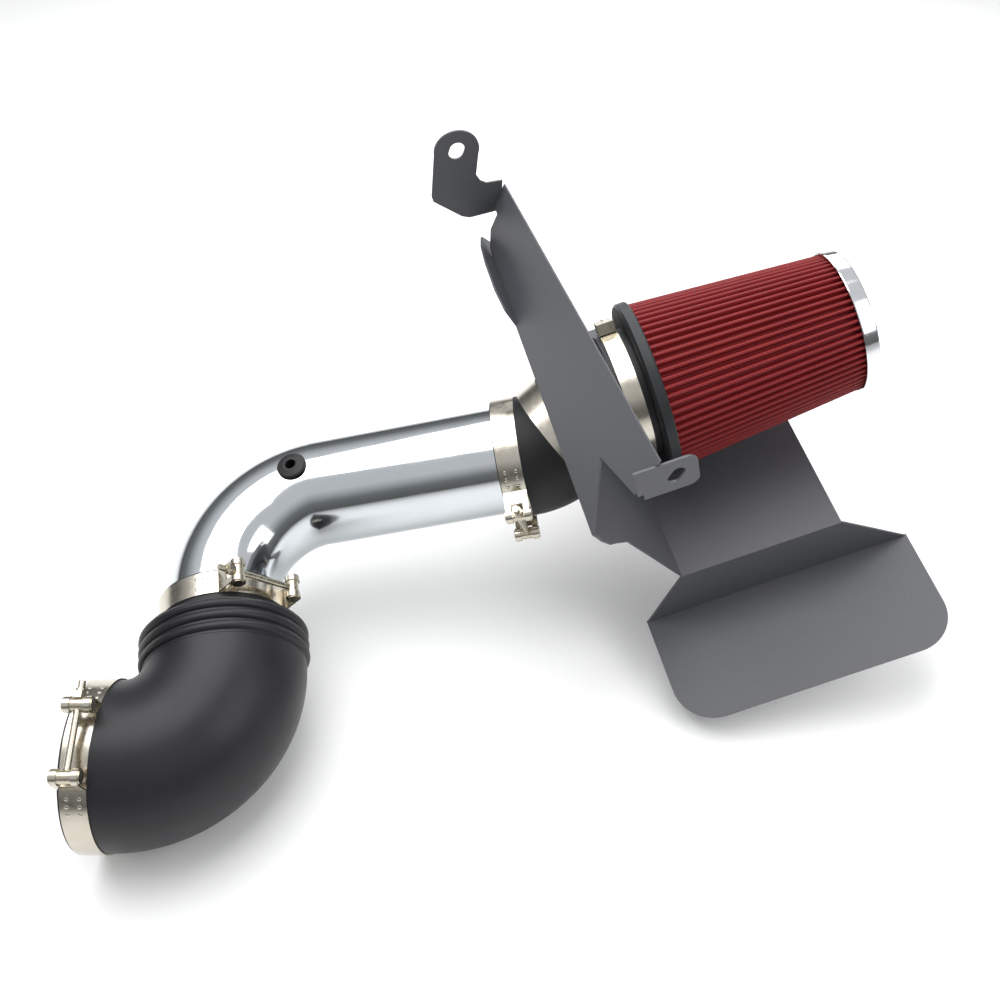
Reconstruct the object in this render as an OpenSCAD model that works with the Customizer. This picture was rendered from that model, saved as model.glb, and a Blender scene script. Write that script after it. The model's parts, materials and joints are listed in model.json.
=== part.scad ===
// Cold air intake: throttle elbow, bent tube, hose coupler, heat shield and cone filter.
// Millimetres, +Z up. The origin is the centre of the elbow's mouth, which opens towards -X.

/* [Tube] */
// Outside diameter of the bent aluminium tube
tube_od = 88.9; // [70:0.1:100]
// Wall of the bent tube
tube_wall = 1.8; // [1.2:0.1:3]
// Bend radius of the tube, on its centre line
tube_bend_r = 84; // [75:1:95]
// From the bend's corner to the coupler end of the tube
tube_run = 265.5; // [255:0.5:300]
// Rise of the long run above the level, in degrees
tube_rise = 11.6; // [5:0.1:16]
// Heading of the long run seen from above, in degrees
tube_heading = 2.5; // [0:0.1:8]
// Diameter of the sensor hole in the tube
sensor_hole = 17; // [13:0.5:18]
// Place of the sensor hole on the bend, in degrees before its end
sensor_back = 8.5; // [7.5:0.5:30]

/* [Throttle elbow] */
// Bore of the elbow's mouth, which fits over the throttle body
mouth_bore = 114; // [108:0.5:118]
// Wall of the rubber elbow
elbow_wall = 5.5; // [4:0.1:7]
// Bend radius of the elbow, on its centre line
elbow_bend_r = 67; // [64:1:74]
// Straight cuff at the mouth, under the clamp
mouth_cuff = 23; // [21:1:30]
// Straight cuff on the tube, under the clamp
neck_cuff = 26; // [22:1:32]
// From the elbow's corner to the bend corner of the tube
elbow_to_bend = 230; // [222:1:250]
// Heading of the leg from the elbow to the tube's bend, in degrees
leg_heading = 99.5; // [96:0.1:104]
// Rise of the leg, in degrees
leg_rise = 10.4; // [5:0.1:14]
// Number of bellows ribs
bellows_ribs = 3; // [2:1:4]
// Length of one bellows rib
rib_pitch = 9.5; // [8:0.5:11]
// How far a bellows rib stands proud of the elbow
rib_h = 4; // [3:0.5:4.5]

/* [Hose coupler] */
// Wall of the hose coupler
hose_wall = 5; // [3.5:0.1:6]
// Cuff length of the coupler at each end
hose_cuff = 20.5; // [20.5:0.5:24]
// Bend radius of the coupler, on its centre line
hose_bend_r = 52; // [51:0.5:56]

/* [Adapter tube] */
// Wall of the adapter tube
adapter_wall = 2; // [1.5:0.1:3]
// Bend radius of the adapter tube
adapter_bend_r = 50; // [47:0.5:60]

/* [Clamps] */
// Width of a clamp band
band_w = 19; // [15:0.5:21]
// Thickness of a clamp band
band_t = 1; // [0.7:0.1:1.4]
// Diameter of the barrels that the T-bolt pulls on
barrel_d = 9.5; // [8:0.1:11]
// Diameter of the T-bolt
bolt_d = 5; // [4:0.1:6]
// Distance between the two barrels
barrel_gap = 50; // [42:1:54]

/* [Filter] */
// Length of the pleated cone
filter_len = 168; // [140:1:200]
// Outside diameter of the pleats at the base
filter_base_d = 140; // [132:1:150]
// Outside diameter of the pleats at the cap
filter_cap_d = 112; // [95:1:120]
// Number of pleats
pleats = 64; // [48:1:72]
// Depth of a pleat
pleat_depth = 5; // [3:0.5:7]
// Thickness of the moulded base rim
rim_t = 10; // [7:0.5:14]
// Length of the moulded neck
neck_len = 24; // [22:1:30]
// Wall of the moulded neck
neck_wall = 9; // [6:0.5:12]
// Depth of the metal end cap
cap_t = 9; // [6:0.5:12]
// Rise of the filter's axis, in degrees
filter_rise = 15; // [13:0.1:18]
// Heading of the filter's axis, in degrees
filter_heading = 12; // [8:0.1:16]
// Roll of the filter and shield about the filter's axis, in degrees
filter_roll = 9.5; // [4:0.1:14]
// Length between the tube's end and the filter's base
filter_gap = 107.9; // [104:0.1:116]
// Rise of the line between the tube's end and the filter's base, in degrees
gap_rise = 25.6; // [23:0.1:28]
// Heading of that line, in degrees
gap_heading = 16.5; // [14:0.1:19]

/* [Heat shield] */
// Thickness of the shield's sheet steel
sheet_t = 1.6; // [1.2:0.1:2.5]
// Height of the shield's front fold above the filter's axis
ridge_z = 80; // [76:1:90]
// Distance of the front fold before the filter's base
ridge_x = 79; // [76:1:86]
// Depth of the floor panel below the filter's axis
floor_z = 82; // [78:1:95]
// Distance of the web's lower fold before the filter's base
floor_x = 18; // [14:1:24]
// Width of the floor panel, along the filter
floor_w = 136; // [120:1:160]
// Distance of the floor's near edge from the filter's axis
floor_near = 130; // [120:1:140]
// Distance of the floor's far edge from the filter's axis
floor_far = 150; // [130:1:165]
// Run of the top panel along the filter
top_run = 52; // [46:1:60]
// Height of the top panel
top_h = 72; // [66:1:80]
// Height of the step between the floor and the foot
step_h = 60; // [45:1:70]
// Depth of the foot panel
foot_d = 101; // [90:1:115]
// How far the foot reaches left of the floor panel
foot_left = 36; // [20:1:45]
// How far the foot reaches right of the floor panel
foot_right = 60; // [40:1:70]
// Corner radius of the foot
foot_r = 34; // [20:1:40]
// Width of the mounting tabs
tab_w = 36; // [30:1:42]
// Width of the slots in the mounting tabs
slot_w = 9; // [6:0.5:11]
// Length of the slots in the mounting tabs
slot_len = 15; // [12:0.5:18]
// Clearance between the adapter tube and the shield's hole
hole_gap = 3; // [2:0.5:5]
// How far the rubber edging of the hole covers the sheet
edging_lap = 4; // [3:0.5:6]

/* [Hidden] */
$fn = 96;
eps = 0.01;
fit = 0.05;
seam = 0.25;
lap = 1;

function unit(v) = v / norm(v);
function heading(h, r) = [cos(r) * cos(h), cos(r) * sin(h), sin(r)];
function frame(o, x, y, z) = [
    [x[0], y[0], z[0], o[0]],
    [x[1], y[1], z[1], o[1]],
    [x[2], y[2], z[2], o[2]],
    [0, 0, 0, 1],
];
function side(d, hint) = unit(hint - (hint * d) * d);
function turn(d_in, d_out) = acos(d_in * d_out);
function tangent(d_in, d_out, r) = r * tan(turn(d_in, d_out) / 2);

// Directions along the air path, from the elbow's mouth to the filter
out_dir = [1, 0, 0];
leg_dir = heading(leg_heading, leg_rise);
run_dir = heading(tube_heading, tube_rise);
gap_dir = heading(gap_heading, gap_rise);
filter_dir = heading(filter_heading, filter_rise);

tube_r = tube_od / 2;
mouth_r = mouth_bore / 2;
elbow_r = mouth_r + elbow_wall;
neck_r = tube_r + fit;
over_r = tube_r + seam + fit;
hose_r = over_r;
elbow_tangent = tangent(out_dir, leg_dir, elbow_bend_r);

// The bellows end in a shoulder, which the tube's end stops against
bellows_len = bellows_ribs * rib_pitch;
shoulder = 6;
neck_top = bellows_len + shoulder + neck_cuff;
neck_outer = tube_r + fit + elbow_wall;

// Corners and ends of the air path
elbow_corner = (mouth_cuff + elbow_tangent) * out_dir;
bellows_at = elbow_corner + elbow_tangent * leg_dir;
bend_corner = elbow_corner + elbow_to_bend * leg_dir;
neck_start = bellows_at + (bellows_len + shoulder) * leg_dir;
run_end = bend_corner + tube_run * run_dir;
filter_base_at = run_end + filter_gap * gap_dir;

// The coupler turns from the tube into the adapter, and the adapter into the filter's neck
hose_lead = 14.1;
adapter_lead = 10.5;
hose_corner = run_end + hose_lead * run_dir;
adapter_corner = filter_base_at - (neck_len + adapter_lead) * filter_dir;
link_dir = unit(adapter_corner - hose_corner);
adapter_start = hose_corner + hose_lead * link_dir;
hose_start = run_end - hose_cuff * run_dir;
hose_end = adapter_start + hose_cuff * link_dir;
adapter_end = filter_base_at - 2 * filter_dir;

module at(o, x, y, z) { multmatrix(frame(o, x, y, z)) children(); }

// Stands children on point o with their Z along d and their X turned towards hint
module along(o, d, hint = [0, 0, 1]) {
    x = side(d, hint);
    at(o, x, cross(d, x), d) children();
}

module ring(r_out, r_in) {
    difference() {
        circle(r_out);
        circle(r_in);
    }
}

// Frame of a bend in the path: it turns about Z, and the path comes in along +Y at [r, 0, 0]
module bend_frame(corner, d_in, d_out, r) {
    w = side(d_in, d_out);
    at(corner - tangent(d_in, d_out, r) * d_in + r * w, -w, d_in, cross(-w, d_in)) children();
}

module before_bend(r) { translate([r, 0, 0]) rotate([90, 0, 0]) children(); }
module after_bend(r, angle) {
    rotate([0, 0, angle]) translate([r, 0, 0]) rotate([-90, 0, 0]) children();
}

// Round tube with one bend. The part past the bend laps into it and is a hair thicker,
// which keeps the two surfaces apart where they would otherwise only graze each other.
module bent_tube(from, corner, to, r, r_out, r_in) {
    d_in = unit(corner - from);
    d_out = unit(to - corner);
    t = tangent(d_in, d_out, r);
    angle = turn(d_in, d_out);
    bend_frame(corner, d_in, d_out, r) {
        before_bend(r) linear_extrude(norm(corner - from) - t) ring(r_out, r_in);
        rotate_extrude(angle = angle) translate([r, 0]) ring(r_out, r_in);
        after_bend(r, angle) translate([0, 0, -lap])
            linear_extrude(norm(to - corner) - t + lap) ring(r_out + seam, r_in - seam);
    }
}

// The filter and the shield share this frame: X along the filter, Z up
module filter_frame() {
    translate(filter_base_at) rotate([filter_roll, -filter_rise, filter_heading]) children();
}

// Bent tube

grommet_flange = sensor_hole + 7;
grommet_bore = 9;
grommet_depth = 6;

// Local Z points straight out of the tube, up from the plane of the bend
module sensor_frame() {
    bend_frame(bend_corner, leg_dir, run_dir, tube_bend_r)
        rotate([0, 0, turn(leg_dir, run_dir) - sensor_back])
            translate([tube_bend_r, 0, 0]) rotate([180, 0, 0]) children();
}

module intake_tube() {
    color("gainsboro") difference() {
        bent_tube(neck_start, bend_corner, run_end, tube_bend_r, tube_r, tube_r - tube_wall);
        sensor_frame() translate([0, 0, tube_r / 2]) cylinder(h = tube_r, d = sensor_hole);
    }
}

module sensor_grommet() {
    color("#222222") sensor_frame() rotate_extrude() translate([0, tube_r]) {
        translate([grommet_bore / 2, -grommet_depth])
            square([(sensor_hole - grommet_bore) / 2 - fit, grommet_depth + 2]);
        polygon([
            [grommet_bore / 2, 0.6], [grommet_flange / 2, 0.6], [grommet_flange / 2, 1.8],
            [grommet_flange / 2 - 1, 2.8], [grommet_bore / 2 + 2, 4], [grommet_bore / 2, 4],
        ]);
    }
}

// Throttle elbow

module elbow_rib(z) {
    translate([elbow_r - 1, z]) circle(rib_h, $fn = 32);
}

module bellows_section() {
    difference() {
        union() {
            polygon([
                [mouth_r - seam, -lap], [elbow_r + seam, -lap], [elbow_r + seam, bellows_len],
                [neck_outer, bellows_len + shoulder], [neck_outer, neck_top],
                [neck_r, neck_top], [neck_r, bellows_len + shoulder], [mouth_r - seam, bellows_len],
            ]);
            for (i = [0 : bellows_ribs - 1]) elbow_rib((i + 0.5) * rib_pitch);
        }
        for (i = [0 : bellows_ribs - 1])
            translate([mouth_r - 1.5, (i + 0.5) * rib_pitch]) circle(3, $fn = 24);
    }
}

module throttle_elbow() {
    angle = turn(out_dir, leg_dir);
    color("#1c1c1e") bend_frame(elbow_corner, out_dir, leg_dir, elbow_bend_r) {
        before_bend(elbow_bend_r) linear_extrude(mouth_cuff) ring(elbow_r, mouth_r);
        rotate_extrude(angle = angle) translate([elbow_bend_r, 0]) ring(elbow_r, mouth_r);
        after_bend(elbow_bend_r, angle) rotate_extrude() bellows_section();
    }
}

// Hose coupler and adapter tube

module hose_coupler() {
    color("#1a1a1b")
        bent_tube(hose_start, hose_corner, hose_end, hose_bend_r, hose_r + hose_wall, hose_r);
}

module adapter_tube() {
    color("silver") bent_tube(adapter_start, adapter_corner, adapter_end, adapter_bend_r,
                              tube_r, tube_r - adapter_wall);
}

// T-bolt clamps: local Z is the clamped axis, the bolt lies across X on the +Y side

barrel_r = barrel_d / 2;
loop_r = barrel_r + fit + band_t;
function barrel_y(r) = r + band_t + loop_r + 2;

module band_section(r) {
    lug_x = barrel_gap / 2 + loop_r - band_t;
    lug_foot = sqrt(pow(r + band_t / 4, 2) - lug_x * lug_x);
    difference() {
        circle(r + band_t / 2);
        circle(r);
    }
    difference() {
        circle(r + band_t);
        circle(r);
        translate([-lug_x, 0]) square([2 * lug_x, 2 * r]);
    }
    for (s = [-1, 1]) {
        translate([s * (lug_x + band_t / 2), 0])
            translate([-band_t / 2, lug_foot]) square([band_t, barrel_y(r) - lug_foot]);
        translate([s * barrel_gap / 2, barrel_y(r)]) difference() {
            circle(loop_r);
            circle(barrel_r + fit);
        }
    }
}

module clamp_band(r) {
    color("#d8d4c8") difference() {
        translate([0, 0, -band_w / 2]) linear_extrude(band_w) band_section(r);
        for (s = [-1, 1])
            translate([s * barrel_gap / 2, barrel_y(r), 0])
                cube([2 * loop_r + 4, 2 * loop_r + 4, bolt_d + 5], center = true);
    }
}

module clamp_tbolt(r) {
    color("#cfcabc") translate([0, barrel_y(r), 0]) {
        translate([-barrel_gap / 2, 0, -band_w / 2 - 1]) cylinder(h = band_w + 2, r = barrel_r);
        translate([-barrel_gap / 2, 0, 0]) rotate([0, 90, 0])
            cylinder(h = barrel_gap + barrel_r + 12, d = bolt_d);
    }
}

module clamp_barrel(r) {
    color("#cfcabc") translate([barrel_gap / 2, barrel_y(r), 0]) difference() {
        translate([0, 0, -band_w / 2 - 1]) cylinder(h = band_w + 2, r = barrel_r);
        rotate([0, 90, 0]) cylinder(h = 40, d = bolt_d + 2 * fit, center = true);
        translate([barrel_r - 0.6, -10, -5]) cube([5, 20, 10]);
    }
}

module clamp_nut(r) {
    color("#c9c4b6") translate([barrel_gap / 2 + barrel_r - 0.6, barrel_y(r), 0]) rotate([0, 90, 0])
        difference() {
            union() {
                cylinder(h = 5, d = 9, $fn = 6);
                translate([0, 0, 5 - eps]) cylinder(h = 1.8, d = 7.4);
            }
            translate([0, 0, -1]) cylinder(h = 20, d = bolt_d + 2 * fit);
        }
}

module clamp_at(o, d, up) {
    y = side(d, up);
    at(o, cross(y, d), y, d) children();
}

cuff_edge = 1.5;
module mouth_clamp() {
    clamp_at((cuff_edge + band_w / 2) * out_dir, out_dir, [0, -0.31, 0.95]) children();
}

module neck_clamp() {
    clamp_at(bellows_at + (neck_top - cuff_edge - band_w / 2) * leg_dir, leg_dir, [0.62, 0.2, 0.75])
        children();
}

module hose_clamp() {
    clamp_at(hose_start + hose_cuff / 2 * run_dir, run_dir, [0, -0.9, -0.45]) children();
}

module adapter_clamp() {
    clamp_at(hose_end - hose_cuff / 2 * link_dir, link_dir, [0, -0.45, -0.89]) children();
}

mouth_band_r = elbow_r + fit;
neck_band_r = neck_outer + fit;
hose_band_r = hose_r + hose_wall + fit;
adapter_band_r = hose_band_r + seam;

module mouth_band() { mouth_clamp() clamp_band(mouth_band_r); }
module mouth_tbolt() { mouth_clamp() clamp_tbolt(mouth_band_r); }
module mouth_barrel() { mouth_clamp() clamp_barrel(mouth_band_r); }
module mouth_nut() { mouth_clamp() clamp_nut(mouth_band_r); }
module neck_band() { neck_clamp() clamp_band(neck_band_r); }
module neck_tbolt() { neck_clamp() clamp_tbolt(neck_band_r); }
module neck_barrel() { neck_clamp() clamp_barrel(neck_band_r); }
module neck_nut() { neck_clamp() clamp_nut(neck_band_r); }
module hose_band() { hose_clamp() clamp_band(hose_band_r); }
module hose_tbolt() { hose_clamp() clamp_tbolt(hose_band_r); }
module hose_barrel() { hose_clamp() clamp_barrel(hose_band_r); }
module hose_nut() { hose_clamp() clamp_nut(hose_band_r); }
module adapter_band() { adapter_clamp() clamp_band(adapter_band_r); }
module adapter_tbolt() { adapter_clamp() clamp_tbolt(adapter_band_r); }
module adapter_barrel() { adapter_clamp() clamp_barrel(adapter_band_r); }
module adapter_nut() { adapter_clamp() clamp_nut(adapter_band_r); }

// Cone filter: in the filter's frame, turned so that its axis is Z

filter_neck_r = over_r + neck_wall;
rim_r = filter_base_d / 2 + 3;
pleat_lap = 2;

module on_filter_axis() { filter_frame() rotate([0, 90, 0]) children(); }

module filter_base() {
    color("#202122") on_filter_axis() rotate_extrude() polygon([
        [over_r, -neck_len], [filter_neck_r - 1, -neck_len], [filter_neck_r, 1 - neck_len],
        [filter_neck_r, 0], [rim_r - 2, 0], [rim_r, 2], [rim_r, rim_t - 1], [rim_r - 1, rim_t],
        [filter_base_d / 2 + fit, rim_t], [filter_base_d / 2 + fit, rim_t - pleat_lap],
        [tube_r - 6, rim_t - pleat_lap], [tube_r - 6, 0], [over_r, 0],
    ]);
}

module pleat_star(r, depth) {
    polygon([
        for (i = [0 : pleats - 1], k = [0, 1, 2, 3])
            let (a = (i + [0, 0.3, 0.5, 0.8][k]) * 360 / pleats,
                 q = [r, r, r - depth, r - depth][k])
            [q * cos(a), q * sin(a)],
    ]);
}

module filter_pleats() {
    color("#9c1a1c") on_filter_axis() translate([0, 0, rim_t - pleat_lap]) difference() {
        linear_extrude(filter_len, scale = filter_cap_d / filter_base_d)
            pleat_star(filter_base_d / 2, pleat_depth);
        translate([0, 0, -1]) cylinder(h = filter_len - 12, r1 = filter_base_d / 2 - pleat_depth - 6,
                                       r2 = filter_cap_d / 2 - pleat_depth - 6);
    }
}

module filter_cap() {
    cap_r = filter_cap_d / 2 + 1.2;
    at_z = rim_t - pleat_lap + filter_len;
    color("#e4e4e6") on_filter_axis() translate([0, 0, at_z]) rotate_extrude() {
        difference() {
            hull() {
                translate([0, -cap_t]) square([cap_r + 1.6, 1]);
                translate([cap_r - 2, 1.6]) circle(2, $fn = 24);
                translate([0, -cap_t]) square([1, cap_t + 3.6]);
            }
            translate([0, -cap_t - 1]) square([cap_r, cap_t + 1]);
            translate([0, 2.2]) square([cap_r - 9, 10]);
        }
    }
}

// Worm-drive clamp on the filter's neck

filter_band_z = -neck_len + 5 + 7;
filter_band_r = filter_neck_r + fit;

module filter_band() {
    color("#d8d4c8") on_filter_axis() translate([0, 0, filter_band_z - 7]) linear_extrude(14)
        difference() {
            circle(filter_band_r + 0.9);
            circle(filter_band_r);
        }
}

module worm_frame() {
    on_filter_axis() rotate([0, 0, 140])
        translate([filter_band_r + 0.9, 0, filter_band_z]) children();
}

module filter_screw_housing() {
    color("#c9c4b6") worm_frame() difference() {
        translate([0, -9, -7]) cube([9, 18, 14]);
        translate([5, 0, 0]) rotate([90, 0, 0]) cylinder(h = 40, d = 7.2, center = true);
        translate([-filter_band_r - 0.9, 0, -10])
            cylinder(h = 20, r = filter_band_r + 0.95);
    }
}

module filter_screw() {
    color("#c9c4b6") worm_frame() translate([5, 0, 0]) rotate([90, 0, 0]) {
        translate([0, 0, -8]) cylinder(h = 17.1, d = 7);
        difference() {
            translate([0, 0, 9.05 - eps]) cylinder(h = 5, d = 9.4, $fn = 6);
            translate([-5, -0.6, 12.5]) cube([10, 1.2, 3]);
        }
    }
}

// Heat shield: one folded sheet, in the filter's frame

ridge = [-ridge_x, ridge_z];
web_foot = [-floor_x, -floor_z];
top_edge = ridge + [top_run, top_h];
top_len = norm(top_edge - ridge);
web_len = norm(web_foot - ridge);
top_near = floor_near + 42;
// Where the top panel runs out to its far tab, along its slope and across the filter
apex = [0.55 * top_len, floor_far + 2];
// The ends of neighbouring panels and folds are this far apart, so that none just graze
stagger = 0.4;
fold_r = 0.5 * sheet_t + 0.2;
ridge_near = floor_near + 34;
ridge_far = floor_far - 42;
web_near = floor_near - stagger;
web_far = floor_far - stagger;

// Plane of a panel: X from point p to point q of the section, Y across the filter
module panel_plane(p, q) {
    d = unit([q[0] - p[0], 0, q[1] - p[1]]);
    at([p[0], 0, p[1]], d, [0, 1, 0], cross(d, [0, 1, 0])) children();
}

module panel(p, q) {
    panel_plane(p, q) translate([0, 0, -sheet_t / 2]) linear_extrude(sheet_t) children();
}

module top_outline() {
    polygon([
        [0, -ridge_near], [0.42 * top_len, 38 - ridge_near], [0.62 * top_len, -top_near],
        [top_len, -top_near], [apex[0], apex[1]], [apex[0] - 21, apex[1]],
        [apex[0] - 22, apex[1] - 11], [12, apex[1] - 12], [3, ridge_far + 20], [0, ridge_far],
    ]);
}

// The web runs on above the fold as a low rounded flange at its far end
module web_outline() {
    polygon([
        [0, stagger - ridge_near], [0.08 * web_len, 1 - ridge_near],
        [0.17 * web_len, 5 - ridge_near], [0.26 * web_len, 13 - ridge_near],
        [0.4 * web_len, -web_near - 10], [web_len, -web_near],
        [web_len, web_far], [0.3 * web_len, web_far], [0.06 * web_len, ridge_far + 38],
        [-8, ridge_far + 30], [-16, ridge_far + 12], [-20, ridge_far - 12],
        [-20, ridge_far - 44], [-14, ridge_far - 62], [0, ridge_far - 70],
    ]);
}

module shield_hole(extra) {
    along(adapter_corner - 70 * link_dir, link_dir) cylinder(h = 100, r = tube_r + extra);
}

// Rounds the outside of a fold that runs across the filter
module fold_rod(p, low, high) {
    translate([p[0], low, p[1]]) rotate([-90, 0, 0]) cylinder(h = high - low, r = fold_r);
}

module shield_sheet() {
    // Top panel and web
    panel(ridge, top_edge) top_outline();
    panel(ridge, web_foot) web_outline();
    fold_rod(ridge, 2 * stagger - ridge_near, ridge_far - 2 * stagger);
    // Floor
    translate([web_foot[0], -floor_near, -floor_z - sheet_t / 2])
        cube([floor_w, floor_near + floor_far, sheet_t]);
    fold_rod(web_foot, 2 * stagger - floor_near, floor_far - 2 * stagger);
    // Step, spreading from the floor to the foot
    translate([0, -floor_near + sheet_t / 2, 0]) rotate([90, 0, 0]) linear_extrude(sheet_t)
        polygon([
            [web_foot[0], -floor_z + sheet_t / 2],
            [web_foot[0] + floor_w, -floor_z + sheet_t / 2],
            [web_foot[0] + floor_w + foot_right, -floor_z - step_h - sheet_t / 2],
            [web_foot[0] - foot_left, -floor_z - step_h - sheet_t / 2],
        ]);
    // Foot
    translate([0, 0, -floor_z - step_h - sheet_t / 2]) linear_extrude(sheet_t) foot_outline();
}

module foot_outline() {
    left = web_foot[0] - foot_left;
    right = web_foot[0] + floor_w + foot_right;
    near = -floor_near - foot_d;
    translate([left, near + foot_r]) square([right - left, foot_d - foot_r + sheet_t / 2]);
    translate([left + foot_r, near]) square([right - left - 2 * foot_r, foot_r + 1]);
    for (x = [left + foot_r, right - foot_r]) translate([x, near + foot_r]) circle(foot_r);
}

module slot(len, w) {
    translate([0, -(len - w) / 2]) circle(d = w);
    translate([0, (len - w) / 2]) circle(d = w);
    translate([-w / 2, -(len - w) / 2]) square([w, len - w]);
}

// Tab at the near end of the top panel
module near_tab() {
    h = tab_w - 4;
    root = ridge + (top_edge - ridge) * 0.72;
    translate([root[0], -top_near + sheet_t / 2, root[1] - h / 2])
        rotate([90, 0, 0]) linear_extrude(sheet_t) difference() {
            union() {
                translate([-4, 6]) square([34, h - 6]);
                translate([30, 8]) square([8, h - 16]);
                translate([0, 0]) square([30, h]);
                for (y = [8, h - 8]) translate([30, y]) circle(8);
            }
            translate([23, h / 2]) rotate(-35) slot(slot_len, slot_w);
        }
}

// Tab at the far end of the top panel, which turns up. Its points start from the apex.
module far_tab() {
    tip = ridge + (top_edge - ridge) * (apex[0] / top_len);
    eye = [-29, 48];
    translate([tip[0], apex[1] - stagger, tip[1]])
        rotate([90, 0, 0]) linear_extrude(sheet_t) difference() {
            union() {
                polygon([
                    [-1, 6], [-14, 9], [-18, 13], [-20, 20], [eye[0] + tab_w / 2, eye[1] - 2], eye,
                    [eye[0] - tab_w / 2, eye[1] + 2], [-59, 14], [-59, 9], [-56, 5],
                    [-41, -15], [-35, -19], [-27, -20], [-9, -22],
                ]);
                translate(eye) circle(tab_w / 2);
            }
            translate(eye) rotate(-31) slot(slot_len, slot_w + 3);
        }
}

module heat_shield() {
    color("#4a4b4d") difference() {
        filter_frame() {
            shield_sheet();
            near_tab();
            far_tab();
        }
        shield_hole(hole_gap);
    }
}

// The edging's lip is on the filter's side only, because the coupler ends close to the web
edging_lip = 2.7;

module hole_edging() {
    color("#1b1b1c") difference() {
        intersection() {
            shield_hole(hole_gap + edging_lap);
            filter_frame() web_slab(-sheet_t / 2, sheet_t / 2 + edging_lip);
        }
        shield_hole(seam + fit);
        difference() {
            filter_frame() web_slab(-sheet_t / 2 - fit, sheet_t / 2 + fit);
            shield_hole(hole_gap - fit);
        }
    }
}

// Slab along the web, between two heights over the sheet's middle. The filter is above it.
module web_slab(low, high) {
    panel_plane(ridge, web_foot)
        translate([0, -web_near, low]) cube([web_len, 2 * web_near, high - low]);
}

intake_tube();
sensor_grommet();
throttle_elbow();
hose_coupler();
adapter_tube();
heat_shield();
hole_edging();
filter_base();
filter_pleats();
filter_cap();
filter_band();
filter_screw_housing();
filter_screw();
mouth_band();
mouth_tbolt();
mouth_barrel();
mouth_nut();
neck_band();
neck_tbolt();
neck_barrel();
neck_nut();
hose_band();
hose_tbolt();
hose_barrel();
hose_nut();
adapter_band();
adapter_tbolt();
adapter_barrel();
adapter_nut();
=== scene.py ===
"""Looks for the cold air intake: materials on the CAD nodes, a pleated filter, and the studio.

Sizes are in millimetres unless a name says otherwise, and become metres in one place, at MM.
"""

import json
import logging
import math
from dataclasses import dataclass
from enum import Enum
from typing import Callable

import bmesh
import bpy
import numpy as np
from mathutils import Euler, Matrix, Vector

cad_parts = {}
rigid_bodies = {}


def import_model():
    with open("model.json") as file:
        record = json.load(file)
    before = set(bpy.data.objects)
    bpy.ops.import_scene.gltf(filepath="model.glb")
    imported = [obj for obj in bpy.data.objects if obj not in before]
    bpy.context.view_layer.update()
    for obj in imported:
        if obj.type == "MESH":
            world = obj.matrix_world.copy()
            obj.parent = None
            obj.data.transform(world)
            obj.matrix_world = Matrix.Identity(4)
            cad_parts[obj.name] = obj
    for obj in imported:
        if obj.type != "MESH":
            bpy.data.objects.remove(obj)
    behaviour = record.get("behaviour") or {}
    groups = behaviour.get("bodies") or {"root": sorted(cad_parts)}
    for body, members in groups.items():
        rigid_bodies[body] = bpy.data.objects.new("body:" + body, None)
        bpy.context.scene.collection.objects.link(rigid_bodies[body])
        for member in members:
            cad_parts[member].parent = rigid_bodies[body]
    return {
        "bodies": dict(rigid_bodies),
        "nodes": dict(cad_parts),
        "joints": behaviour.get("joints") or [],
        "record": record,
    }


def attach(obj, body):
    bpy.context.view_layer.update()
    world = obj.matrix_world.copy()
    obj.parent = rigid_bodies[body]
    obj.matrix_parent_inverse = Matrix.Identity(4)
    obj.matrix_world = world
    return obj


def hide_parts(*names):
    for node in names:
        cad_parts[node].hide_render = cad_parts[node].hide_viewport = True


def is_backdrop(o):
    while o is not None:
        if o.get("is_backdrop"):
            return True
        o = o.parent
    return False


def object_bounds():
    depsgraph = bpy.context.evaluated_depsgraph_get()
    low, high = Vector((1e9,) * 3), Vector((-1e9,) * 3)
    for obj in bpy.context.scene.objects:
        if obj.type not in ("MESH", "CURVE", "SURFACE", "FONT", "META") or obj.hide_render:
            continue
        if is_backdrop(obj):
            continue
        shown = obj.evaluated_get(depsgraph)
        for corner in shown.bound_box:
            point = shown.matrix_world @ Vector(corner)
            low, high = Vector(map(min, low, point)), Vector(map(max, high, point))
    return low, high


LOG = logging.getLogger("intake_scene")
MM = 0.001
ROOT_BODY = "root"


class Surface(Enum):
    """The kinds of surface that the part has."""

    METAL = "metal"
    RUBBER = "rubber"
    POWDER = "powder"
    GAUZE = "gauze"


@dataclass(frozen=True)
class Finish:
    """How one surface looks.

    Args:
        name: the material's name.
        kind: the kind of surface.
        colour: sRGB hex colour.
        second: sRGB hex colour that the first one wanders to.
        roughness: the shader's roughness.
        grain: size of the fine grain, in mm.
        relief: height of the grain's bump, in mm.
        drift: size of the patches that the colour wanders in, in mm.
    """

    name: str
    kind: Surface
    colour: str
    second: str
    roughness: float
    grain: float = 1.0
    relief: float = 0.0
    drift: float = 60.0


# Aluminium tube, buffed to a mirror: soft patches of handling marks in its roughness keep its
# reflections from being flat, and its colour drifts in soft patches towards a greenish grey, which
# is a painted sheen
TUBE = Finish("polished_aluminium", Surface.METAL, "#d3d6da", "#c6ccce", 0.1, 6.0, 0.0, 55.0)
# The same tube stock, less well buffed because it is hidden in use
ADAPTER = Finish("adapter_aluminium", Surface.METAL, "#d2d4d6", "#c4c8c8", 0.16, 6.0, 0.0, 55.0)
# Spun steel cap under chrome plate: the brightest metal on the part
CAP = Finish("chrome_cap", Surface.METAL, "#e4e5e8", "#d8dade", 0.09, 6.0, 0.0, 30.0)
# Rolled stainless strip, warm in tone, with a trace of the rolling
BAND = Finish("clamp_band", Surface.METAL, "#cfcabf", "#b9b1a2", 0.2, 1.2, 0.004, 12.0)
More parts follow.
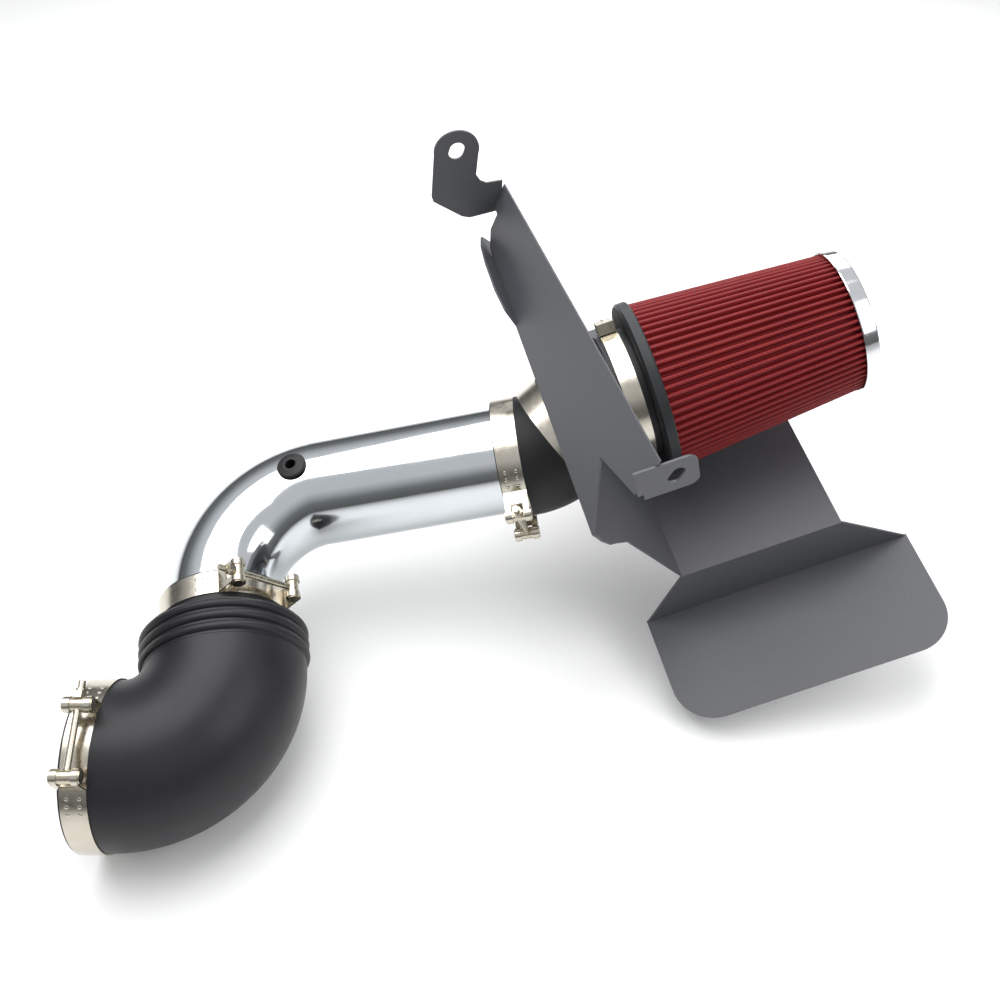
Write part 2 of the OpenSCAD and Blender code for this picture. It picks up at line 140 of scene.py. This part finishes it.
# Zinc-plated bolts and barrels: yellower and duller than the strip
HARDWARE = Finish("clamp_hardware", Surface.METAL, "#cbc5b6", "#b2a993", 0.26, 1.0, 0.006, 8.0)
# Silicone-type rubber, moulded: a smooth skin with a broad, dull sheen
ELBOW = Finish("elbow_rubber", Surface.RUBBER, "#1b1b1e", "#242427", 0.42, 0.8, 0.012, 40.0)
# Wrapped and cured hose rubber: duller and blacker than the elbow
HOSE = Finish("hose_rubber", Surface.RUBBER, "#161617", "#1e1e20", 0.5, 0.8, 0.014, 30.0)
# Small moulded seals
SEAL = Finish("black_rubber", Surface.RUBBER, "#19191a", "#222224", 0.46, 0.6, 0.01, 12.0)
# Poured urethane, a little greyer than rubber
URETHANE = Finish("filter_urethane", Surface.RUBBER, "#1f2123", "#2a2c2e", 0.44, 0.7, 0.012, 30.0)
# Textured powder coat: its grain is under 1 mm across, and is drawn coarser so that it shows
POWDER = Finish("powder_coat", Surface.POWDER, "#434448", "#515257", 0.52, 1.1, 0.07, 1.6)
# Oiled cotton gauze: deep red and matte
GAUZE = Finish("filter_media", Surface.GAUZE, "#8f1217", "#780a10", 0.62, 0.5, 0.05, 22.0)

# The wire mesh that backs the gauze: pitch in mm, half a wire's share of the pitch, and colour
WIRE_PITCH = 2.6
WIRE_SHARE = 0.07
WIRE_COLOUR = "#5c1a1c"

CLAMPS = ("mouth", "neck", "hose", "adapter")

NODE_FINISH: dict[str, Finish] = {
    "intake_tube": TUBE,
    "sensor_grommet": SEAL,
    "throttle_elbow": ELBOW,
    "hose_coupler": HOSE,
    "adapter_tube": ADAPTER,
    "heat_shield": POWDER,
    "hole_edging": SEAL,
    "filter_base": URETHANE,
    "filter_pleats": GAUZE,
    "filter_cap": CAP,
}


def linear(colour: str) -> tuple[float, float, float, float]:
    """Turns an sRGB hex colour into linear light.

    Args:
        colour: a colour such as "#9d1519".

    Returns:
        Red, green, blue and an alpha of one.
    """
    parts = [int(colour[i : i + 2], 16) / 255 for i in (1, 3, 5)]
    lit = [p / 12.92 if p <= 0.04045 else ((p + 0.055) / 1.055) ** 2.4 for p in parts]
    return (lit[0], lit[1], lit[2], 1.0)


def add_node(tree: bpy.types.NodeTree, kind: str, **values: object) -> bpy.types.Node:
    """Adds one shader node.

    Args:
        tree: the node tree.
        kind: the node's type name.
        values: inputs by name, with underscores for spaces, or properties of the node.
            A value that is an output socket is linked.

    Returns:
        The new node.
    """
    node = tree.nodes.new(kind)
    for key, value in values.items():
        label = key.replace("_", " ")
        socket = next((s for s in node.inputs if s.name.lower() == label.lower()), None)
        if socket is None:
            setattr(node, key, value)
        elif isinstance(value, bpy.types.NodeSocket):
            tree.links.new(value, socket)
        else:
            socket.default_value = value
    return node


def per_metre(size: float) -> float:
    """Texture scale for a pattern whose features are about this many mm across."""
    return 1.0 / (size * MM)


@dataclass(frozen=True)
class Shader:
    """One material while it is being made.

    Args:
        tree: its node tree.
        surface: its main shader node.
        finish: how it looks.
        place: coordinates that its pattern runs along.
        colour: its colour so far.
    """

    tree: bpy.types.NodeTree
    surface: bpy.types.Node
    finish: Finish
    place: bpy.types.NodeSocket
    colour: bpy.types.NodeSocket

    def put(self, name: str, value: bpy.types.NodeSocket | float) -> None:
        """Sets or links one of the main shader's inputs.

        Args:
            name: the input's name.
            value: a number, or an output to link.
        """
        socket = self.surface.inputs[name]
        if isinstance(value, bpy.types.NodeSocket):
            self.tree.links.new(value, socket)
        else:
            socket.default_value = value

    def wander(self, size: float, detail: float, low: float, high: float, top: float) -> None:
        """Lets the roughness wander in patches, as handling marks do.

        Args:
            size: size of the patches, in mm.
            detail: how many finer layers the noise has.
            low: the least roughness.
            high: the greatest roughness.
            top: the noise value that gives the greatest roughness.
        """
        marks = add_node(
            self.tree, "ShaderNodeTexNoise", Vector=self.place, Scale=per_metre(size), Detail=detail
        )
        rough = add_node(
            self.tree, "ShaderNodeMapRange", Value=marks.outputs["Fac"], From_Min=0.3,
            From_Max=top, To_Min=low, To_Max=high,
        )
        self.put("Roughness", rough.outputs["Result"])

    def bump(self, height: bpy.types.NodeSocket, strength: float, relief: float) -> None:
        """Raises a pattern on the surface.

        Args:
            height: the pattern.
            strength: strength of the bump.
            relief: its height, in mm.
        """
        node = add_node(
            self.tree, "ShaderNodeBump", Height=height, Strength=strength, Distance=relief * MM
        )
        self.put("Normal", node.outputs["Normal"])


def mix_colours(
    tree: bpy.types.NodeTree,
    share: bpy.types.NodeSocket,
    first: bpy.types.NodeSocket | str,
    second: str,
) -> bpy.types.NodeSocket:
    """Mixes two colours.

    Args:
        tree: the node tree.
        share: how much of the second colour shows.
        first: an output, or an sRGB hex colour.
        second: an sRGB hex colour.

    Returns:
        The mixed colour.
    """
    node = add_node(tree, "ShaderNodeMix", data_type="RGBA")
    slots = [s for s in node.inputs if s.type == "RGBA"]
    tree.links.new(share, node.inputs[0])
    if isinstance(first, bpy.types.NodeSocket):
        tree.links.new(first, slots[0])
    else:
        slots[0].default_value = linear(first)
    slots[1].default_value = linear(second)
    return next(s for s in node.outputs if s.type == "RGBA")


class Materials:
    """Builds each material once."""

    def __init__(self) -> None:
        """Starts with no material made."""
        self._made: dict[str, bpy.types.Material] = {}
        self._extras: dict[Surface, Callable[[Shader], None]] = {
            Surface.METAL: self._metal,
            Surface.RUBBER: self._rubber,
            Surface.POWDER: self._powder,
            Surface.GAUZE: self._gauze,
        }

    def get(self, finish: Finish) -> bpy.types.Material:
        """Gives the material of a finish, and makes it the first time.

        Args:
            finish: the surface wanted.

        Returns:
            The material.
        """
        if finish.name not in self._made:
            self._made[finish.name] = self._build(finish)
        return self._made[finish.name]

    def _build(self, finish: Finish) -> bpy.types.Material:
        """Makes the shader that all finishes share, and then what sets each kind apart.

        Args:
            finish: the surface wanted.

        Returns:
            The material.
        """
        material = bpy.data.materials.new(finish.name)
        material.use_nodes = True
        tree = material.node_tree
        coords = tree.nodes.new("ShaderNodeTexCoord").outputs
        place = coords["UV" if finish.kind is Surface.GAUZE else "Object"]
        # The colour wanders in soft patches towards the finish's second colour; on the polished
        # tube that second colour is a painted sheen
        patches = add_node(
            tree, "ShaderNodeTexNoise", Vector=coords["Object"],
            Scale=per_metre(finish.drift), Detail=3.0,
        )
        colour = mix_colours(tree, patches.outputs["Fac"], finish.colour, finish.second)
        shader = Shader(tree, tree.nodes["Principled BSDF"], finish, place, colour)
        shader.put("Base Color", colour)
        shader.put("Roughness", finish.roughness)
        if finish.relief:
            grain = add_node(
                tree, "ShaderNodeTexNoise", Vector=coords["Object"],
                Scale=per_metre(finish.grain), Detail=2.0,
            )
            shader.bump(grain.outputs["Fac"], 0.6, finish.relief)
        self._extras[finish.kind](shader)
        return material

    def _metal(self, shader: Shader) -> None:
        """Bare metal, whose roughness wanders a little.

        Args:
            shader: the material so far.
        """
        rough = shader.finish.roughness
        shader.put("Metallic", 1.0)
        shader.wander(shader.finish.drift / 3, 4.0, rough * 0.8, rough * 1.4, 0.75)

    def _rubber(self, shader: Shader) -> None:
        """Moulded rubber: a dull sheen with soft handling marks.

        Args:
            shader: the material so far.
        """
        rough = shader.finish.roughness
        shader.put("Specular IOR Level", 0.3)
        shader.wander(shader.finish.drift, 5.0, rough - 0.05, rough + 0.08, 0.7)

    def _powder(self, shader: Shader) -> None:
        """Powder coat: satin, a little glossier than bare rubber."""
        shader.put("Specular IOR Level", 0.6)

    def _gauze(self, shader: Shader) -> None:
        """Oiled cotton gauze under a fine wire mesh, whose wires run diagonally.

        Args:
            shader: the material so far.
        """
        tree = shader.tree
        shader.put("Specular IOR Level", 0.35)
        rising, falling = (self._wires(shader, angle) for angle in (45.0, -45.0))
        both = add_node(tree, "ShaderNodeMath", operation="MAXIMUM")
        tree.links.new(rising, both.inputs[0])
        tree.links.new(falling, both.inputs[1])
        wires = both.outputs["Value"]
        shader.put("Base Color", mix_colours(tree, wires, shader.colour, WIRE_COLOUR))
        shader.bump(wires, 0.5, shader.finish.relief * 4)

    def _wires(self, shader: Shader, angle: float) -> bpy.types.NodeSocket:
        """Draws one set of parallel wires.

        Args:
            shader: the material so far.
            angle: the set's angle on the unrolled sheet, in degrees.

        Returns:
            One on a wire and nought between wires.
        """
        tree = shader.tree
        turned = add_node(
            tree, "ShaderNodeMapping", Vector=shader.place,
            Rotation=(0.0, 0.0, math.radians(angle)), Scale=(per_metre(WIRE_PITCH),) * 3,
        )
        axis = add_node(tree, "ShaderNodeSeparateXYZ", Vector=turned.outputs["Vector"])
        saw = add_node(tree, "ShaderNodeMath", operation="PINGPONG")
        tree.links.new(axis.outputs["X"], saw.inputs[0])
        saw.inputs[1].default_value = 0.5
        line = add_node(
            tree, "ShaderNodeMapRange", Value=saw.outputs["Value"],
            From_Min=WIRE_SHARE, From_Max=WIRE_SHARE * 2, To_Min=1.0, To_Max=0.0,
        )
        return line.outputs["Result"]


# Rise and heading of the filter's axis in degrees, as in the part's source
FILTER_RISE = 15.0
FILTER_HEADING = 12.0


def add_piece(name: str, mesh: bpy.types.Mesh, material: bpy.types.Material) -> bpy.types.Object:
    """Puts a finished mesh into the scene.

    Args:
        name: the new object's name.
        mesh: its mesh.
        material: its material.

    Returns:
        The new object.
    """
    mesh.materials.append(material)
    piece = bpy.data.objects.new(name, mesh)
    bpy.context.scene.collection.objects.link(piece)
    return piece


@dataclass(frozen=True)
class FilterFrame:
    """The filter's own frame, measured on the CAD solids: Z runs from the base to the cap.

    Args:
        to_row: from the filter's frame to the row frame, in metres.
        start: where the pleats start along the axis, in metres.
        end: where they end.
    """

    to_row: Matrix
    start: float
    end: float

    @staticmethod
    def measure(base: bpy.types.Object, media: bpy.types.Object) -> "FilterFrame":
        """Finds the frame from the moulded base, which is round about the filter's axis.

        Args:
            base: the CAD node of the moulded base.
            media: the CAD node of the pleats.

        Returns:
            The frame.
        """
        turn = Euler((0.0, math.radians(90.0 - FILTER_RISE), math.radians(FILTER_HEADING)), "XYZ")
        back = turn.to_matrix().inverted()
        points = [back @ v.co for v in base.data.vertices]
        middle = [
            (min(p[i] for p in points) + max(p[i] for p in points)) / 2 for i in range(2)
        ]
        along = [(back @ v.co).z for v in media.data.vertices]
        origin = turn.to_matrix() @ Vector((middle[0], middle[1], 0.0))
        return FilterFrame(
            Matrix.Translation(origin) @ turn.to_matrix().to_4x4(), min(along), max(along)
        )


@dataclass(frozen=True)
class PleatedMedia:
    """The filter's pleated cone.

    Args:
        base_d: outside diameter at the base.
        cap_d: outside diameter at the cap.
        pleats: number of pleats.
        depth: depth of a pleat.
        steps: points round one pleat.
        rows: rings along the cone.
        lean: how far the folds' flanks bulge, as a share of a pleat.
        sharpness: over one, the crests are broader than the valleys.
    """

    base_d: float = 140.0
    cap_d: float = 112.0
    pleats: int = 64
    depth: float = 5.0
    steps: int = 14
    rows: int = 28
    lean: float = 0.05
    sharpness: float = 1.4

    def build(self, frame: FilterFrame, material: bpy.types.Material) -> bpy.types.Object:
        """Makes the pleats as one sheet folded round the cone.

        Args:
            frame: the filter's frame.
            material: the gauze.

        Returns:
            The new object.
        """
        around = self.pleats * self.steps
        verts: list[Vector] = []
        path = [self._fold(k / self.steps) for k in range(self.steps)]
        for row in range(self.rows + 1):
            share = row / self.rows
            radius = (self.base_d + (self.cap_d - self.base_d) * share) / 2
            height = frame.start + (frame.end - frame.start) * share
            for i in range(around):
                turn, drop = path[i % self.steps]
                angle = (i // self.steps + turn) * math.tau / self.pleats
                r = (radius - drop * self.depth) * MM
                verts.append(Vector((r * math.cos(angle), r * math.sin(angle), height)))
        faces = [
            (r * around + i, r * around + (i + 1) % around,
             (r + 1) * around + (i + 1) % around, (r + 1) * around + i)
            for r in range(self.rows) for i in range(around)
        ]
        mesh = bpy.data.meshes.new("pleated_media")
        mesh.from_pydata(verts, [], faces)
        self._unwrap(mesh, around, frame.end - frame.start)
        mesh.polygons.foreach_set("use_smooth", [True] * len(mesh.polygons))
        mesh.transform(frame.to_row)
        return add_piece("pleated_media", mesh, material)

    def _fold(self, share: float) -> tuple[float, float]:
        """Gives a point of one pleat's profile.

        Args:
            share: how far along the pleat's profile the point is, from 0 to 1.

        Returns:
            How far round the pleat it is, from 0 to 1, and how deep, from 0 to 1.
        """
        wave = 0.5 - 0.5 * math.cos(share * math.tau)
        lean = self.lean * math.sin(share * 2 * math.tau)
        return share + lean, wave**self.sharpness

    def _unwrap(self, mesh: bpy.types.Mesh, around: int, length: float) -> None:
        """Lays the sheet flat in its UV map, in metres, so the wires keep one pitch.

        Args:
            mesh: the pleats.
            around: points round one ring.
            length: length of the cone, in metres.
        """
        layer = mesh.uv_layers.new(name="sheet")
        pleat_width = math.pi * self.base_d / self.pleats
        step = 2 * math.hypot(pleat_width / 2, self.depth) / self.steps * MM
        for polygon in mesh.polygons:
            column = polygon.index % around
            for corner, loop in enumerate(polygon.loop_indices):
                row = polygon.index // around + (1 if corner > 1 else 0)
                u = (column + (1 if corner in (1, 2) else 0)) * step
                layer.data[loop].uv = (u, row / self.rows * length)


@dataclass(frozen=True)
class ClampFrame:
    """A T-bolt clamp's own frame, measured on its CAD solids.

    Args:
        to_row: from the clamp's frame to the row frame. Z is the clamp's axis, X runs along the
            bolt and Y points from the axis to the bolt.
        radius: outside radius of the band, in metres.
    """

    to_row: Matrix
    radius: float

    @staticmethod
    def measure(band: bpy.types.Object, bolt: bpy.types.Object) -> "ClampFrame":
        """Finds the frame: the bolt's barrel runs along the clamp's axis, its shank across it.

        Args:
            band: the CAD node of the band.
            bolt: the CAD node of the T-bolt.

        Returns:
            The frame.
        """
        ring = np.array([v.co for v in band.data.vertices])
        shank = np.array([v.co for v in bolt.data.vertices])
        _, turns = np.linalg.eigh(np.cov(ring.T))
        axis = turns[:, 0]
        along = np.linalg.eigh(np.cov(shank.T))[1][:, 2]
        x = along - axis * (along @ axis)
        x /= np.linalg.norm(x)
        y = np.cross(axis, x)
        middle = ring.mean(0)
        if (shank.mean(0) - middle) @ y < 0:
            axis, y = -axis, -y
        local = (ring - middle) @ np.array([x, y, axis]).T
        radius = (local[:, 0].max() - local[:, 0].min()) / 2
        centre = middle + y * (local[:, 1].min() + radius)
        columns = Matrix([[x[i], y[i], axis[i], centre[i]] for i in range(3)] + [[0, 0, 0, 1]])
        return ClampFrame(columns, radius)


@dataclass(frozen=True)
class SpotWelds:
    """The rows of spot welds that close the band's loops.

    Args:
        radius: radius of one weld, in mm.
        proud: how far it stands proud of the band, in mm.
        first: distance of the first row from the middle of the bolt, in mm round the band.
        spacing: distance between the rows, in mm.
        rows: number of rows on each side.
        offset: distance of a weld from the band's middle, in mm.
    """

    radius: float = 1.5
    proud: float = 0.35
    first: float = 38.0
    spacing: float = 6.0
    rows: int = 3
    offset: float = 4.5

    def build(self, name: str, frame: ClampFrame, material: bpy.types.Material) -> bpy.types.Object:
        """Makes the welds of one clamp.

        Args:
            name: the new object's name.
            frame: the clamp's frame.
            material: the band's metal.

        Returns:
            The new object.
        """
        shape = bmesh.new()
        for side in (-1, 1):
            for row in range(self.rows):
                angle = side * (self.first + row * self.spacing) * MM / frame.radius
                for across in (-1, 1):
                    place = (
                        Matrix.Rotation(angle, 4, "Z")
                        @ Matrix.Translation((0, frame.radius, across * self.offset * MM))
                        @ Matrix.Diagonal((self.radius * MM, self.proud * MM, self.radius * MM, 1))
                    )
                    bmesh.ops.create_uvsphere(
                        shape, u_segments=12, v_segments=8, radius=1.0, matrix=place
                    )
        mesh = bpy.data.meshes.new(name)
        shape.to_mesh(mesh)
        shape.free()
        mesh.transform(frame.to_row)
        mesh.polygons.foreach_set("use_smooth", [True] * len(mesh.polygons))
        return add_piece(name, mesh, material)


@dataclass(frozen=True)
class SoftBox:
    """One square area light that faces the part.

    Args:
        name: the light's name.
        offset: its place from the part's middle, in metres.
        size: its side, in metres.
        power: its power, in watts.
    """

    name: str
    offset: tuple[float, float, float]
    size: float
    power: float

    def build(self, aim: Vector) -> None:
        """Hangs the light.

        Args:
            aim: the part's middle, in metres.
        """
        data = bpy.data.lights.new(self.name, "AREA")
        data.size = self.size
        data.energy = self.power
        light = bpy.data.objects.new(self.name, data)
        light.location = aim + Vector(self.offset)
        light.rotation_euler = (aim - light.location).to_track_quat("-Z", "Y").to_euler()
        bpy.context.scene.collection.objects.link(light)


SOFT_BOXES = (
    SoftBox("key", (-0.35, 0.25, 1.3), 1.5, 26.0),
    SoftBox("fill", (1.1, -0.5, 0.9), 1.0, 8.0),
    SoftBox("rim", (0.2, 1.3, 0.7), 1.0, 8.0),
)


@dataclass(frozen=True)
class Studio:
    """Floor, lights, world and camera.

    Args:
        camera_at: the camera's place, in metres, from the fit to the photograph.
        camera_tilt: its angle up from straight down, in degrees.
        lens: focal length for a 36 mm sensor, in mm.
        clip_start: nearest distance that the camera shows, in metres.
        floor_colour: sRGB hex colour of the floor.
        floor_roughness: the floor's roughness.
        floor_reach: distance from the part's middle to the floor's edge, in metres.
        sky: heights on the world's sphere, as shares of its radius, and their sRGB hex colours.
        sky_strength: strength of the world's light.
    """

    camera_at: tuple[float, float, float] = (0.303, -0.4369, 0.7144)
    camera_tilt: float = 45.0
    lens: float = 39.6
    clip_start: float = 0.01
    floor_colour: str = "#f3f3f2"
    floor_roughness: float = 0.9
    floor_reach: float = 8.0
    sky: tuple[tuple[float, str], ...] = ((0.0, "#6b6c68"), (0.3, "#8c8f90"), (0.62, "#f4f5f8"))
    sky_strength: float = 0.8

    def build(self, low: Vector, high: Vector) -> None:
        """Makes the whole studio round the part.

        Args:
            low: the part's lowest corner.
            high: the part's highest corner.
        """
        middle = (low + high) / 2
        self._floor(middle, low.z)
        for box in SOFT_BOXES:
            box.build(middle)
        self._world()
        self._camera()

    def _floor(self, middle: Vector, height: float) -> None:
        """Lays a plain pale floor under the part.

        Args:
            middle: the part's middle.
            height: the floor's height, in metres.
        """
        reach = self.floor_reach
        corners = [(-reach, -reach), (reach, -reach), (reach, reach), (-reach, reach)]
        mesh = bpy.data.meshes.new("floor")
        mesh.from_pydata(
            [(middle.x + x, middle.y + y, height) for x, y in corners], [], [(0, 1, 2, 3)]
        )
        material = bpy.data.materials.new("floor")
        material.use_nodes = True
        shader = material.node_tree.nodes["Principled BSDF"]
        shader.inputs["Base Color"].default_value = linear(self.floor_colour)
        shader.inputs["Roughness"].default_value = self.floor_roughness
        add_piece("floor", mesh, material)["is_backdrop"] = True

    def _world(self) -> None:
        """Lights the part from a pale ceiling over darker walls, which the bare metal reflects."""
        world = bpy.data.worlds.new("studio")
        world.use_nodes = True
        tree = world.node_tree
        coords = tree.nodes.new("ShaderNodeTexCoord")
        split = add_node(tree, "ShaderNodeSeparateXYZ", Vector=coords.outputs["Generated"])
        ramp = tree.nodes.new("ShaderNodeValToRGB")
        tree.links.new(split.outputs["Z"], ramp.inputs["Fac"])
        stops = ramp.color_ramp.elements
        stops.remove(stops[1])
        stops[0].position, stops[0].color = self.sky[0][0], linear(self.sky[0][1])
        for height, colour in self.sky[1:]:
            stops.new(height).color = linear(colour)
        background = tree.nodes["Background"]
        tree.links.new(ramp.outputs["Color"], background.inputs["Color"])
        background.inputs["Strength"].default_value = self.sky_strength
        bpy.context.scene.world = world

    def _camera(self) -> None:
        """Sets the camera where the photograph was taken from."""
        data = bpy.data.cameras.new("camera")
        data.lens = self.lens
        data.clip_start = self.clip_start
        camera = bpy.data.objects.new("camera", data)
        camera.location = self.camera_at
        camera.rotation_euler = (math.radians(self.camera_tilt), 0.0, 0.0)
        bpy.context.scene.collection.objects.link(camera)
        bpy.context.scene.camera = camera


class Intake:
    """The dressed part."""

    def __init__(self, nodes: dict[str, bpy.types.Object]) -> None:
        """Keeps the CAD nodes and starts the materials.

        Args:
            nodes: the CAD nodes by name.
        """
        self.nodes = nodes
        self.materials = Materials()

    def dress(self) -> None:
        """Gives each CAD node its material and adds the pieces that only the scene has."""
        for name, node in self.nodes.items():
            finish = self._finish(name)
            node.data.materials.clear()
            node.data.materials.append(self.materials.get(finish))
            LOG.info("dressed %s in %s", name, finish.name)
        self._media()
        for clamp in CLAMPS:
            self._welds(clamp)

    def _welds(self, clamp: str) -> None:
        """Adds the spot welds of one T-bolt clamp.

        Args:
            clamp: the clamp's name, which its nodes' names start with.
        """
        frame = ClampFrame.measure(self.nodes[f"{clamp}_band"], self.nodes[f"{clamp}_tbolt"])
        welds = SpotWelds().build(f"{clamp}_spot_welds", frame, self.materials.get(BAND))
        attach(welds, ROOT_BODY)
        LOG.info("made %s", welds.name)

    def _finish(self, name: str) -> Finish:
        """Looks up a node's finish. The nodes that aren't listed belong to a clamp."""
        return NODE_FINISH.get(name, BAND if name.endswith("_band") else HARDWARE)

    def _media(self) -> None:
        """Replaces the CAD pleats with a folded sheet."""
        frame = FilterFrame.measure(self.nodes["filter_base"], self.nodes["filter_pleats"])
        media = PleatedMedia().build(frame, self.materials.get(GAUZE))
        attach(media, ROOT_BODY)
        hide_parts("filter_pleats")
        LOG.info("made %s", media.name)


def main() -> None:
    """Loads the frame, dresses the part and lights it."""
    logging.basicConfig(level=logging.INFO)
    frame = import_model()
    cad_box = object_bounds()
    Intake(frame["nodes"]).dress()
    Studio().build(*cad_box)
    bpy.context.scene.view_settings.view_transform = "Standard"


if __name__ == "__main__":
    main()
